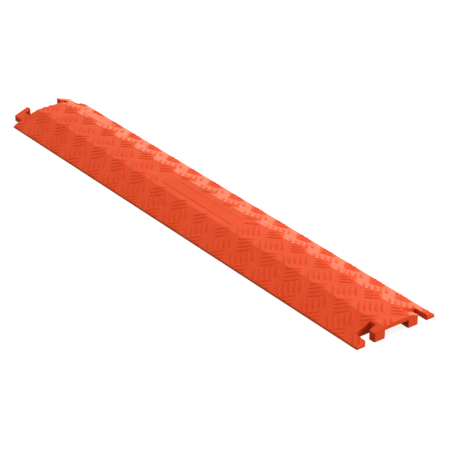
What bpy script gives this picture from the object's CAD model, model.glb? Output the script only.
"""Looks of the drop-over cable protector ramp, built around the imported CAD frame.

Every CAD member gets one detailed piece that stands for it. Lengths in this file are
in millimetres until a mesh is made; MM turns them into metres.
"""

import math

import bmesh
import bpy
import numpy as np
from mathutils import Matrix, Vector


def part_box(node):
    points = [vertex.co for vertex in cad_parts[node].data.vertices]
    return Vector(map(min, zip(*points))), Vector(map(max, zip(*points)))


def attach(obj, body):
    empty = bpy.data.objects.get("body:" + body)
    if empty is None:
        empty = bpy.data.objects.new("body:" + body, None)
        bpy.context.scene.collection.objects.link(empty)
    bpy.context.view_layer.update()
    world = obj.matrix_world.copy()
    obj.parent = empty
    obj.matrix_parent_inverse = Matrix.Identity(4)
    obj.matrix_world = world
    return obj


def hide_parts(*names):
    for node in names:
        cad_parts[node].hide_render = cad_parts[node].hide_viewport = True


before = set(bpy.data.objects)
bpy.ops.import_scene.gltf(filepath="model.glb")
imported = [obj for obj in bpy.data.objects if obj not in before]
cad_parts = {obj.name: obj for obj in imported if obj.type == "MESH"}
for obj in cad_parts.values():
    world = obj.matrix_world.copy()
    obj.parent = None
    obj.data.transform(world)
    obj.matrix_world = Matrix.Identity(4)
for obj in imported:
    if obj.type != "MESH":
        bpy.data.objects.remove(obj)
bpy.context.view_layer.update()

MM = 0.001

# ---------------------------------------------------------------- sizes from the frame


def node_box(node):
    low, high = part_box(node)
    return [v / MM for v in low], [v / MM for v in high]


RAMP_LOW, RAMP_HIGH = node_box("front_ramp")
FINGER_LOW, FINGER_HIGH = node_box("front_socket_finger")
LIP_LOW, LIP_HIGH = node_box("front_socket_lip")
WALL_LOW, WALL_HIGH = node_box("front_socket_wall")
NECK_LOW, NECK_HIGH = node_box("front_lug_neck")
HOOK_LOW, HOOK_HIGH = node_box("front_lug_hook")
ROOF_LOW, ROOF_HIGH = node_box("channel_roof")
TREAD_HIGH = node_box("roof_tread")[1]

LEFT_X, SOCKET_X, RIGHT_X = RAMP_LOW[0], RAMP_HIGH[0], FINGER_HIGH[0]
TOE_Y, CHANNEL_Y = RAMP_LOW[1], RAMP_HIGH[1]
BODY_H, CHANNEL_H = RAMP_HIGH[2], ROOF_LOW[2]
BODY_LEN = RIGHT_X - LEFT_X
MID_X = (LEFT_X + RIGHT_X) / 2
TREAD_H = TREAD_HIGH[2] - BODY_H

TOE_H = 3.4  # height of the blunt toe
CREST_Y = 25.0  # half the roof's width
CREST_R = 3.5  # radius of the crest between the roof and a ramp
CORNER_R = 2.4  # free corners of the connectors, seen from above

EDGE_R = 0.8  # rounding of the free top edges
EDGE_STEPS = 5
FOOT_CHAMFER = 0.35  # small chamfer where the moulding meets the floor
ARC_STEPS = 9
CREST_STEPS = 6

# ---------------------------------------------------------------- the top surface


def top_profile():
    """Break points of the top surface on one side: distances from the middle and heights."""
    slope = math.atan2(BODY_H - TOE_H, -TOE_Y - CREST_Y)
    tangent = CREST_R * math.tan(slope / 2)
    y, z = [0.0], [BODY_H]
    for i in range(CREST_STEPS + 1):
        angle = slope * i / CREST_STEPS
        y.append(CREST_Y - tangent + CREST_R * math.sin(angle))
        z.append(BODY_H - CREST_R * (1 - math.cos(angle)))
    y.append(-TOE_Y)
    z.append(TOE_H)
    return np.array(y), np.array(z)


PROFILE_Y, PROFILE_Z = top_profile()


def surface(y):
    """Height of the top surface at a distance y from the middle line."""
    return np.interp(np.abs(y), PROFILE_Y, PROFILE_Z)


# ---------------------------------------------------------------- outlines seen from above

# An outline is a list of (x, y, kind, normal), anticlockwise. Each entry starts an edge:
# "free" edges are rounded, "seam" edges meet another member face to face, and "channel"
# edges meet the roof above and are free below. normal is given only for an edge of no
# length, which turns the rounding around an inner corner that two members share.


def arc(cx, cy, start, kind="free"):
    """A rounded corner of CORNER_R around (cx, cy), turning 90 degrees from start."""
    points = []
    for i in range(ARC_STEPS + 1):
        angle = math.radians(start + 90 * i / ARC_STEPS)
        points.append((cx + CORNER_R * math.cos(angle), cy + CORNER_R * math.sin(angle),
                       kind, None))
    return points


def ramp_outline():
    x0, x1, y0, y1 = LEFT_X, SOCKET_X, TOE_Y, CHANNEL_Y
    finger, pocket = FINGER_HIGH[1], WALL_LOW[1]
    return [
        (x0, y0, "free", None),
        (x1, y0, "seam", None),
        (x1, finger, "free", (0, 1)),
        (x1, finger, "free", None),
        (x1, pocket, "free", (0, -1)),
        (x1, pocket, "seam", None),
        (x1, y1, "channel", None),
        (x0, y1, "free", None),
        (x0, NECK_HIGH[1], "free", (0, 1)),
        (x0, NECK_HIGH[1], "seam", None),
        (x0, NECK_LOW[1], "free", (0, -1)),
        (x0, NECK_LOW[1], "free", None),
    ]


def roof_outline():
    return [
        (LEFT_X, ROOF_LOW[1], "seam", None),
        (RIGHT_X, ROOF_LOW[1], "free", None),
        (RIGHT_X, ROOF_HIGH[1], "seam", None),
        (LEFT_X, ROOF_HIGH[1], "free", None),
    ]


def finger_outline():
    x0, x1, y0, y1 = SOCKET_X, RIGHT_X, TOE_Y, FINGER_HIGH[1]
    return ([(x0, y0, "free", None)]
            + arc(x1 - CORNER_R, y0 + CORNER_R, -90)
            + arc(x1 - CORNER_R, y1 - CORNER_R, 0)
            + [(x0, y1, "seam", None)])


def wall_outline():
    x0, x1, y0, y1 = WALL_LOW[0], WALL_HIGH[0], WALL_LOW[1], CHANNEL_Y
    return [(x0, y0, "free", None), (x1, y0, "seam", None),
            (x1, y1, "channel", None), (x0, y1, "seam", None)]


def lip_outline():
    x0, x1, y0, y1 = LIP_LOW[0], RIGHT_X, LIP_LOW[1], CHANNEL_Y
    pocket = WALL_LOW[1]
    return (arc(x0 + CORNER_R, y0 + CORNER_R, 180)
            + arc(x1 - CORNER_R, y0 + CORNER_R, -90)
            + [(x1, y1, "channel", None), (x0, y1, "seam", None),
               (x0, pocket, "free", (0, -1)), (x0, pocket, "free", None)])


def neck_outline():
    x0, x1, y0, y1 = NECK_LOW[0], LEFT_X, NECK_LOW[1], NECK_HIGH[1]
    return [(x0, y0, "free", None), (x1, y0, "seam", None),
            (x1, y1, "free", None), (x0, y1, "seam", None)]


def hook_outline():
    x0, x1, y0, y1 = HOOK_LOW[0], HOOK_HIGH[0], HOOK_LOW[1], HOOK_HIGH[1]
    neck = NECK_HIGH[1]
    return (arc(x0 + CORNER_R, y0 + CORNER_R, 180)
            + [(x1, y0, "seam", None), (x1, neck, "free", (0, 1)), (x1, neck, "free", None)]
            + arc(x1 - CORNER_R, y1 - CORNER_R, 0)
            + arc(x0 + CORNER_R, y1 - CORNER_R, 90))


def edge_normals(outline):
    normals = []
    for i, (x, y, _, normal) in enumerate(outline):
        if normal is None:
            nx, ny = outline[(i + 1) % len(outline)][:2]
            length = math.hypot(nx - x, ny - y)
            normal = ((ny - y) / length, (x - nx) / length)
        normals.append(normal)
    return normals


def inset(outline, distance, kinds):
    """The outline with the edges of these kinds moved inwards by distance."""
    normals = edge_normals(outline)
    moved = []
    for i, (x, y, kind, _) in enumerate(outline):
        before = outline[i - 1][2]
        (ax, ay), (bx, by) = normals[i - 1], normals[i]
        da = distance if before in kinds else 0.0
        db = distance if kind in kinds else 0.0
        det = ax * by - ay * bx
        if abs(det) < 1e-6:
            moved.append((x - bx * db, y - by * db))
            continue
        pa = ax * x + ay * y - da
        pb = bx * x + by * y - db
        moved.append(((pa * by - pb * ay) / det, (ax * pb - bx * pa) / det))
    return moved


# ---------------------------------------------------------------- solids of the moulding

FOLLOW = 1000.0  # heights above this are measured from the top surface, not the floor


def loft(rings):
    """A closed mesh through rings of (points, height), bottom ring first."""
    bm = bmesh.new()
    count = len(rings[0][0])
    levels = [[bm.verts.new((x, y, height)) for x, y in points] for points, height in rings]
    bm.faces.new(reversed(levels[0]))
    bm.faces.new(levels[-1])
    for low, high in zip(levels, levels[1:]):
        for i in range(count):
            j = (i + 1) % count
            bm.faces.new((low[i], low[j], high[j], high[i]))
    bmesh.ops.remove_doubles(bm, verts=bm.verts, dist=1e-4)
    return bm


def settle(bm, cut):
    """Cuts the mesh at the surface's break points and lays the top on the surface."""
    if cut:
        for side in (-1, 1):
            for y in PROFILE_Y[1:-1]:
                bmesh.ops.bisect_plane(
                    bm, geom=list(bm.verts) + list(bm.edges) + list(bm.faces), dist=1e-5,
                    plane_co=(0, side * y, 0), plane_no=(0, 1, 0))
    for v in bm.verts:
        if v.co.z > FOLLOW / 2:
            v.co.z += float(surface(v.co.y)) - FOLLOW
    return bm


def member(outline, floor=0.0, roof_only=False):
    """A member of the moulding, from floor up to the top surface."""
    free_below = ("free",) if roof_only else ("free", "channel")
    rings = [(inset(outline, FOOT_CHAMFER, free_below), floor),
             (inset(outline, 0.0, ()), floor + FOOT_CHAMFER)]
    for i in range(EDGE_STEPS + 1):
        angle = math.pi / 2 * i / EDGE_STEPS
        rings.append((inset(outline, EDGE_R * (1 - math.cos(angle)), ("free",)),
                      FOLLOW - EDGE_R * (1 - math.sin(angle))))
    return settle(loft(rings), cut=True)


def finish_mesh(bm, name, mirrored, sharp=28):
    """Turns the bmesh into an object in metres, with sharp edges marked."""
    if mirrored:
        for v in bm.verts:
            v.co.y = -v.co.y
        bmesh.ops.reverse_faces(bm, faces=bm.faces)
    bmesh.ops.scale(bm, vec=(MM, MM, MM), verts=bm.verts)
    bmesh.ops.recalc_face_normals(bm, faces=bm.faces)
    mesh = bpy.data.meshes.new(name)
    bm.to_mesh(mesh)
    bm.free()
    mesh.shade_smooth()
    mesh.set_sharp_from_angle(angle=math.radians(sharp))
    obj = bpy.data.objects.new(name, mesh)
    bpy.context.scene.collection.objects.link(obj)
    return obj


# ---------------------------------------------------------------- materials


def node(tree, kind, **values):
    made = tree.nodes.new(kind)
    for key, value in values.items():
        setattr(made, key, value)
    return made


def noise(tree, coords, scale, detail=3.0, rough=0.55):
    made = node(tree, "ShaderNodeTexNoise")
    made.inputs["Scale"].default_value = scale
    made.inputs["Detail"].default_value = detail
    made.inputs["Roughness"].default_value = rough
    tree.links.new(coords, made.inputs["Vector"])
    return made.outputs["Fac"]


def remap(tree, value, low, high, to_low, to_high):
    made = node(tree, "ShaderNodeMapRange")
    for key, limit in (("From Min", low), ("From Max", high),
                       ("To Min", to_low), ("To Max", to_high)):
        made.inputs[key].default_value = limit
    tree.links.new(value, made.inputs["Value"])
    return made.outputs["Result"]


def mix(tree, factor, a, b):
    made = node(tree, "ShaderNodeMix", data_type="RGBA")
    tree.links.new(factor, made.inputs["Factor"])
    for socket, value in ((made.inputs[6], a), (made.inputs[7], b)):
        if hasattr(value, "default_value"):
            tree.links.new(value, socket)
        else:
            socket.default_value = (*value, 1.0)
    return made.outputs[2]


def moulded(name, base, shade, rubbed, rub_share, gloss):
    """Satin polyurethane: slightly uneven colour, fine moulded grain, rubbed raised parts."""
    mat = bpy.data.materials.new(name)
    mat.use_nodes = True
    tree = mat.node_tree
    tree.nodes.clear()
    out = node(tree, "ShaderNodeOutputMaterial")
    shader = node(tree, "ShaderNodeBsdfPrincipled")
    tree.links.new(shader.outputs["BSDF"], out.inputs["Surface"])
    coords = node(tree, "ShaderNodeTexCoord").outputs["Object"]

    cloud = remap(tree, noise(tree, coords, 22.0, 4.0), 0.35, 0.65, 0.0, 1.0)
    colour = mix(tree, cloud, shade, base)
    speck = remap(tree, noise(tree, coords, 420.0, 2.0), 0.56, 0.75, 0.0, 0.35)
    colour = mix(tree, speck, colour, shade)
    if rub_share:
        height = node(tree, "ShaderNodeAttribute", attribute_name="height").outputs["Fac"]
        patch = remap(tree, noise(tree, coords, 60.0, 3.0), 0.3, 0.7, 0.35, 1.0)
        rub = node(tree, "ShaderNodeMath", operation="MULTIPLY")
        tree.links.new(remap(tree, height, 0.6, 1.0, 0.0, rub_share), rub.inputs[0])
        tree.links.new(patch, rub.inputs[1])
        colour = mix(tree, rub.outputs[0], colour, rubbed)
    level = node(tree, "ShaderNodeSeparateXYZ")
    tree.links.new(coords, level.inputs[0])
    dirt = remap(tree, level.outputs["Z"], *GRIME_LEVELS, GRIME_SHARE, 0.0)
    colour = mix(tree, dirt, colour, GRIME)
    tree.links.new(colour, shader.inputs["Base Color"])

    tree.links.new(remap(tree, noise(tree, coords, 160.0, 3.0), 0.3, 0.7, 0.30, 0.40),
                   shader.inputs["Roughness"])
    shader.inputs["IOR"].default_value = 1.5
    shader.inputs["Specular IOR Level"].default_value = gloss

    swell = node(tree, "ShaderNodeBump")
    swell.inputs["Strength"].default_value = 0.25
    swell.inputs["Distance"].default_value = 0.0006
    tree.links.new(noise(tree, coords, 70.0, 2.0), swell.inputs["Height"])
    grain = node(tree, "ShaderNodeBump")
    grain.inputs["Strength"].default_value = 0.18
    grain.inputs["Distance"].default_value = 0.00012
    tree.links.new(noise(tree, coords, 1900.0, 2.0), grain.inputs["Height"])
    tree.links.new(swell.outputs["Normal"], grain.inputs["Normal"])
    tree.links.new(grain.outputs["Normal"], shader.inputs["Normal"])
    return mat


BASE = (0.800, 0.075, 0.022)
SHADE = (0.750, 0.066, 0.018)
SCUFFED = (0.745, 0.071, 0.024)
RUBBED = (0.820, 0.088, 0.031)
GRIME = (0.200, 0.018, 0.008)
GRIME_LEVELS = (0.0004, 0.0014)  # metres above the floor over which grime fades out
GRIME_SHARE = 0.8
DECK_GLOSS, BAR_GLOSS, PAD_GLOSS = 0.15, 0.05, 0.10
MATERIALS = {
    "body": moulded("polyurethane_body", BASE, SHADE, RUBBED, 0.0, DECK_GLOSS),
    "connectors": moulded("polyurethane_connectors", BASE, SHADE, RUBBED, 0.0, DECK_GLOSS),
    "tread_bars": moulded("polyurethane_tread", SCUFFED, SHADE, RUBBED, 0.3, BAR_GLOSS),
    "blank_panels": moulded("polyurethane_panels", BASE, SHADE, RUBBED, 0.0, PAD_GLOSS),
}


def dress(obj, slot, cad_node):
    obj.data.materials.append(MATERIALS[slot])
    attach(obj, "root")
    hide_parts(cad_node)
    return obj


def weigh_normals(obj):
    modifier = obj.modifiers.new("flat_faces_stay_flat", "WEIGHTED_NORMAL")
    modifier.keep_sharp = True
    modifier.weight = 100


# ---------------------------------------------------------------- body and connectors

SIDES = (("front", False), ("rear", True))

for side, mirrored in SIDES:
    for part, outline, slot in (
        ("ramp", ramp_outline(), "body"),
        ("socket_finger", finger_outline(), "connectors"),
        ("socket_wall", wall_outline(), "connectors"),
        ("socket_lip", lip_outline(), "connectors"),
        ("lug_neck", neck_outline(), "connectors"),
        ("lug_hook", hook_outline(), "connectors"),
    ):
        name = f"{side}_{part}"
        piece = finish_mesh(member(outline), name + "_moulding", mirrored)
        weigh_normals(piece)
        dress(piece, slot, name)

roof = finish_mesh(member(roof_outline(), CHANNEL_H, roof_only=True),
                   "channel_roof_moulding", False)
weigh_normals(roof)
dress(roof, "body", "channel_roof")

# ---------------------------------------------------------------- blank panels

PANEL_R = 4.0
PANEL_RINGS = (  # distance in from the edge, height above the surface
    (0.0, -0.20), (0.0, 0.25), (0.10, 0.42), (0.28, 0.55), (0.5, 0.6),
    (2.2, 0.6), (2.35, 0.56), (2.6, 0.36), (2.75, 0.32),
)


def panel(cad_node):
    (x0, y0, _), (x1, y1, _) = node_box(cad_node)
    outline = []
    for cx, cy, start in ((x1 - PANEL_R, y0 + PANEL_R, -90), (x1 - PANEL_R, y1 - PANEL_R, 0),
                          (x0 + PANEL_R, y1 - PANEL_R, 90), (x0 + PANEL_R, y0 + PANEL_R, 180)):
        for i in range(ARC_STEPS + 1):
            angle = math.radians(start + 90 * i / ARC_STEPS)
            outline.append((cx + PANEL_R * math.cos(angle), cy + PANEL_R * math.sin(angle),
                            "free", None))
    rings = [(inset(outline, distance, ("free",)), FOLLOW + height)
             for distance, height in PANEL_RINGS]
    piece = finish_mesh(settle(loft(rings), cut=False), cad_node + "_pad", False, sharp=60)
    weigh_normals(piece)
    dress(piece, "blank_panels", cad_node)


panel("emblem_panel")
panel("label_panel")

# ---------------------------------------------------------------- tread bars

BAR_LEN = 27.0
BAR_W = 5.6
BAR_PITCH = 8.4
BARS_PER_GROUP = 5
GROUP_PITCH = 57.1  # between groups of a row, along the ramp
GROUPS_EACH_WAY = math.ceil(BODY_LEN / GROUP_PITCH)
ROW_PITCH = 24.6  # between rows, across the ramp
ROW_OFFSET = 3.3  # how far the middle row lies in front of the middle line
ROW_SHIFT = GROUP_PITCH * 0.6
ROOF_ROW_X = MID_X + 5
BAR_REACH = BAR_LEN / 2 * math.cos(math.radians(45))
CLEAR = 2.0  # around the panels
INSET = 0.8  # plain strip along the edges that cut the tread
AXIS_STEPS = (-0.75, -0.5, -0.25, 0.0, 0.25, 0.5, 0.75)
LEAST_STEPS = 2
PRISM_REACH = 50.0  # how far the trimming prisms reach above and below the floor

ALONG = 18
ACROSS = 8
SINK = 0.03  # how far the rim of a bar lies under the surface
FADE_WIDTH = 1.4  # strip along the toe over which bars run out
FADE_START = 0.4  # how far past the plain strip a bar reaches its lowest
LEAST_FADE = 0.1


def bar_template():
    """One bar lying along u: its points (u, v, height) and its faces."""
    half_len, half_w = BAR_LEN / 2, BAR_W / 2
    points, columns = [], []

    def add(u, v, share):
        points.append((u, v, -SINK + (TREAD_H + SINK) * share))
        return len(points) - 1

    for i in range(ALONG + 1):
        s = math.sin(math.pi * (i / ALONG - 0.5))
        if i in (0, ALONG):
            columns.append([add(half_len * s, 0.0, 0.0)])
            continue
        width = half_w * (1 - s * s) ** 0.5
        along = (1 - s * s) ** 0.5
        column = []
        for j in range(ACROSS + 1):
            t = math.sin(math.pi / 2 * (2 * j / ACROSS - 1))
            column.append(add(half_len * s, width * t, along * (1 - t * t) ** 0.5))
        columns.append(column)

    faces = []
    for a, b in zip(columns, columns[1:]):
        if len(a) == 1:
            faces += [(a[0], b[j], b[j + 1]) for j in range(ACROSS)]
            faces.append((a[0], b[-1], b[0]))
        elif len(b) == 1:
            faces += [(a[j], b[0], a[j + 1]) for j in range(ACROSS)]
            faces.append((a[0], a[-1], b[0]))
        else:
            faces += [(a[j], b[j], b[j + 1], a[j + 1]) for j in range(ACROSS)]
            faces.append((a[0], a[-1], b[-1], b[0]))
    return np.array(points), faces


BAR_POINTS, BAR_FACES = bar_template()


def grown(cad_node, margin):
    (x0, y0, _), (x1, y1, _) = node_box(cad_node)
    return x0 - margin, x1 + margin, y0 - margin, y1 + margin


NO_BARS = grown("emblem_panel", BAR_REACH + CLEAR)  # whole bars are left out
NO_TREAD = grown("label_panel", CLEAR)  # bars are cut at its edges


def inside(x, y, zone):
    return zone[0] < x < zone[1] and zone[2] < y < zone[3]


def in_area(x, y):
    """Whether a point lies on the part of the deck that carries tread."""
    if inside(x, y, NO_TREAD):
        return False
    y = abs(y)
    inner = -LIP_LOW[1] if x > LIP_LOW[0] + INSET else -WALL_LOW[1]
    in_socket = x > SOCKET_X - INSET and inner - INSET < y < -FINGER_HIGH[1] + INSET
    return LEFT_X + INSET < x < RIGHT_X - INSET and y < -TOE_Y - INSET and not in_socket


def bar_fits(x, y, ca, sa):
    steps = [BAR_LEN / 2 * step for step in AXIS_STEPS]
    shown = sum(in_area(x + step * ca, y + step * sa) for step in steps)
    return shown >= LEAST_STEPS and not inside(x, y, NO_BARS)


def prism(name, outline):
    """An upright prism over an outline, for trimming."""
    bm = bmesh.new()
    low = [bm.verts.new((x * MM, y * MM, -PRISM_REACH * MM)) for x, y in outline]
    high = [bm.verts.new((x * MM, y * MM, PRISM_REACH * MM)) for x, y in outline]
    bm.faces.new(reversed(low))
    bm.faces.new(high)
    for i, corner in enumerate(low):
        j = (i + 1) % len(low)
        bm.faces.new((corner, low[j], high[j], high[i]))
    mesh = bpy.data.meshes.new(name)
    bm.to_mesh(mesh)
    bm.free()
    shape = bpy.data.objects.new(name, mesh)
    bpy.context.scene.collection.objects.link(shape)
    return shape


def deck_outline():
    """The part of the deck that carries tread, between the sockets and the edges."""
    x0, x3 = LEFT_X + INSET, RIGHT_X - INSET
    x1, x2 = SOCKET_X - INSET, LIP_LOW[0] + INSET
    toe, finger = -TOE_Y - INSET, -FINGER_HIGH[1] + INSET
    lip, pocket = -LIP_LOW[1] - INSET, -WALL_LOW[1] - INSET
    half = [(x3, lip), (x2, lip), (x2, pocket), (x1, pocket), (x1, finger), (x3, finger),
            (x3, toe), (x0, toe)]
    return [(x, -y) for x, y in reversed(half)] + half


def trim(piece, shape, operation):
    """Keeps the part of the piece inside the shape, or the part outside it."""
    cut = piece.modifiers.new("trim", "BOOLEAN")
    cut.operation = operation
    cut.solver = "EXACT"
    cut.object = shape
    shown = piece.evaluated_get(bpy.context.evaluated_depsgraph_get())
    mesh = bpy.data.meshes.new_from_object(shown)
    old = piece.data
    piece.modifiers.clear()
    piece.data = mesh
    bpy.data.meshes.remove(old)
    mesh.name = piece.name
    mesh.shade_smooth()
    mesh.set_sharp_from_angle(angle=math.radians(50))


def mark_height(mesh):
    """Stores how far up the bar each vertex is, from 0 to 1."""
    layer = mesh.attributes.new("height", "FLOAT", "POINT")
    for vertex, value in zip(mesh.vertices, layer.data):
        level = vertex.co.z / MM - float(surface(vertex.co.y / MM))
        value.value = min(max(level / TREAD_H, 0.0), 1.0)


def tread_row(row, cad_node):
    lean = math.radians(-45 if row % 2 == 0 else 45)
    ca, sa = math.cos(lean), math.sin(lean)
    points, faces = [], []
    skipped = {-1: BARS_PER_GROUP - 1, 1: 0}.get(row)
    for group in range(-GROUPS_EACH_WAY, GROUPS_EACH_WAY + 1):
        for bar in range(BARS_PER_GROUP):
            offset = BAR_PITCH * (bar - (BARS_PER_GROUP - 1) / 2)
            cx = ROOF_ROW_X + group * GROUP_PITCH + row * ROW_SHIFT - sa * offset
            cy = row * ROW_PITCH - ROW_OFFSET + ca * offset
            if bar == skipped or not bar_fits(cx, cy, ca, sa):
                continue
            u, v, h = BAR_POINTS.T
            x = cx + u * ca - v * sa
            y = cy + u * sa + v * ca
            from_toe = -TOE_Y - INSET + FADE_START - np.abs(y)
            fade = np.clip(from_toe / FADE_WIDTH, LEAST_FADE, 1) ** 0.6
            start = len(points) * len(BAR_POINTS)
            points.append(np.stack([x, y, surface(y) + np.where(h > 0, h * fade, h)], 1))
            faces += [tuple(start + k for k in face) for face in BAR_FACES]
    bm = bmesh.new()
    verts = [bm.verts.new(co) for co in np.concatenate(points)]
    for face in faces:
        bm.faces.new([verts[k] for k in face])
    piece = finish_mesh(bm, cad_node + "_bars", False, sharp=50)
    trim(piece, DECK, "INTERSECT")
    if row > 0:
        trim(piece, LABEL, "DIFFERENCE")
    mark_height(piece.data)
    dress(piece, "tread_bars", cad_node)


DECK = prism("tread_area", deck_outline())
X0, X1, Y0, Y1 = NO_TREAD
LABEL = prism("label_area", [(X0, Y0), (X1, Y0), (X1, Y1), (X0, Y1)])
for row, cad_node in zip(range(-3, 4), (
        "front_toe_tread", "front_ramp_tread", "front_crest_tread", "roof_tread",
        "rear_crest_tread", "rear_ramp_tread", "rear_toe_tread")):
    tread_row(row, cad_node)
bpy.data.objects.remove(DECK)
bpy.data.objects.remove(LABEL)

# ---------------------------------------------------------------- studio

FLOOR_HALF = 8.0
FLOOR_Z = -0.0003
NEAR_SIDE = 0.15  # brightness of the studio on the camera's side
FAR_SIDE = 0.92  # brightness of the studio behind the ramp, to the left
BACKDROP = 1.55  # extra brightness of the low backdrop on the far side
BELOW = 0.35  # how bright the floor looks to the ramp, against the walls
FAR_WAY = (-0.7, 0.7, 0.0)  # the way to the far side of the studio
WARM = (1.0, 0.93, 0.64, 1)
SOFTBOX_COLOUR = (1.0, 0.95, 0.85)

mesh = bpy.data.meshes.new("studio_floor")
corners = [(x * FLOOR_HALF, y * FLOOR_HALF, FLOOR_Z)
           for x, y in ((-1, -1), (1, -1), (1, 1), (-1, 1))]
mesh.from_pydata(corners, [], [(0, 1, 2, 3)])
floor = bpy.data.objects.new("studio_floor", mesh)
bpy.context.scene.collection.objects.link(floor)
floor_mat = bpy.data.materials.new("studio_floor")
floor_mat.use_nodes = True
floor_shader = floor_mat.node_tree.nodes["Principled BSDF"]
floor_shader.inputs["Base Color"].default_value = (0.40, 0.40, 0.40, 1)
floor_shader.inputs["Roughness"].default_value = 0.9
floor_shader.inputs["Specular IOR Level"].default_value = 0.1
floor_shader.inputs["Emission Color"].default_value = (1, 1, 1, 1)
floor_shader.inputs["Emission Strength"].default_value = 0.80
mesh.materials.append(floor_mat)
floor.visible_diffuse = False
floor.visible_glossy = False

world = bpy.data.worlds.new("studio_world")
bpy.context.scene.world = world
world.use_nodes = True
sky = world.node_tree
direction = node(sky, "ShaderNodeTexCoord").outputs["Generated"]
split = node(sky, "ShaderNodeSeparateXYZ")
sky.links.new(direction, split.inputs[0])
behind = node(sky, "ShaderNodeVectorMath", operation="DOT_PRODUCT")
sky.links.new(direction, behind.inputs[0])
behind.inputs[1].default_value = FAR_WAY


def multiply(a, b):
    made = node(sky, "ShaderNodeMath", operation="MULTIPLY")
    sky.links.new(a, made.inputs[0])
    sky.links.new(b, made.inputs[1])
    return made.outputs[0]


height = split.outputs["Z"]
walls = multiply(remap(sky, behind.outputs["Value"], -0.9, 0.9, NEAR_SIDE, FAR_SIDE),
                 remap(sky, height, -0.35, 0.0, BELOW, 1.0))
band = multiply(remap(sky, height, 0.05, 0.22, 1.0, 0.0),
                remap(sky, height, -0.35, -0.05, 0.0, 1.0))
band = multiply(band, remap(sky, behind.outputs["Value"], 0.0, 0.8, 0.0, BACKDROP))
glow = node(sky, "ShaderNodeMath", operation="ADD")
sky.links.new(walls, glow.inputs[0])
sky.links.new(band, glow.inputs[1])
sky.links.new(glow.outputs[0], sky.nodes["Background"].inputs["Strength"])
sky.nodes["Background"].inputs["Color"].default_value = WARM


def softbox(name, place, size, power):
    """A square area light that looks at the origin."""
    data = bpy.data.lights.new(name, "AREA")
    data.shape = "SQUARE"
    data.size = size
    data.energy = power
    data.color = SOFTBOX_COLOUR
    obj = bpy.data.objects.new(name, data)
    obj.location = place
    obj.rotation_euler = Vector(place).to_track_quat("Z", "Y").to_euler()
    bpy.context.scene.collection.objects.link(obj)


softbox("key_behind", (-1.3, 2.8, 3.4), 2.4, 36.0)
softbox("fill_above", (0.5, -1.0, 4.5), 4.0, 86.0)
softbox("fill_right", (4.0, 1.6, 1.1), 2.0, 118.0)

TARGET = Vector((0.0620, 0.0022, 0.0))
AZIMUTH, ELEVATION, DISTANCE = math.radians(52.64), math.radians(28.49), 2.994
camera_data = bpy.data.cameras.new("camera")
camera_data.sensor_width = 36.0
camera_data.lens = 151.55
camera_data.clip_end = 50.0
camera = bpy.data.objects.new("camera", camera_data)
back = Vector((math.sin(AZIMUTH) * math.cos(ELEVATION),
               -math.cos(AZIMUTH) * math.cos(ELEVATION), math.sin(ELEVATION)))
camera.location = TARGET + back * DISTANCE
camera.rotation_euler = back.to_track_quat("Z", "Y").to_euler()
bpy.context.scene.collection.objects.link(camera)
bpy.context.scene.camera = camera
bpy.context.scene.view_settings.view_transform = "Standard"
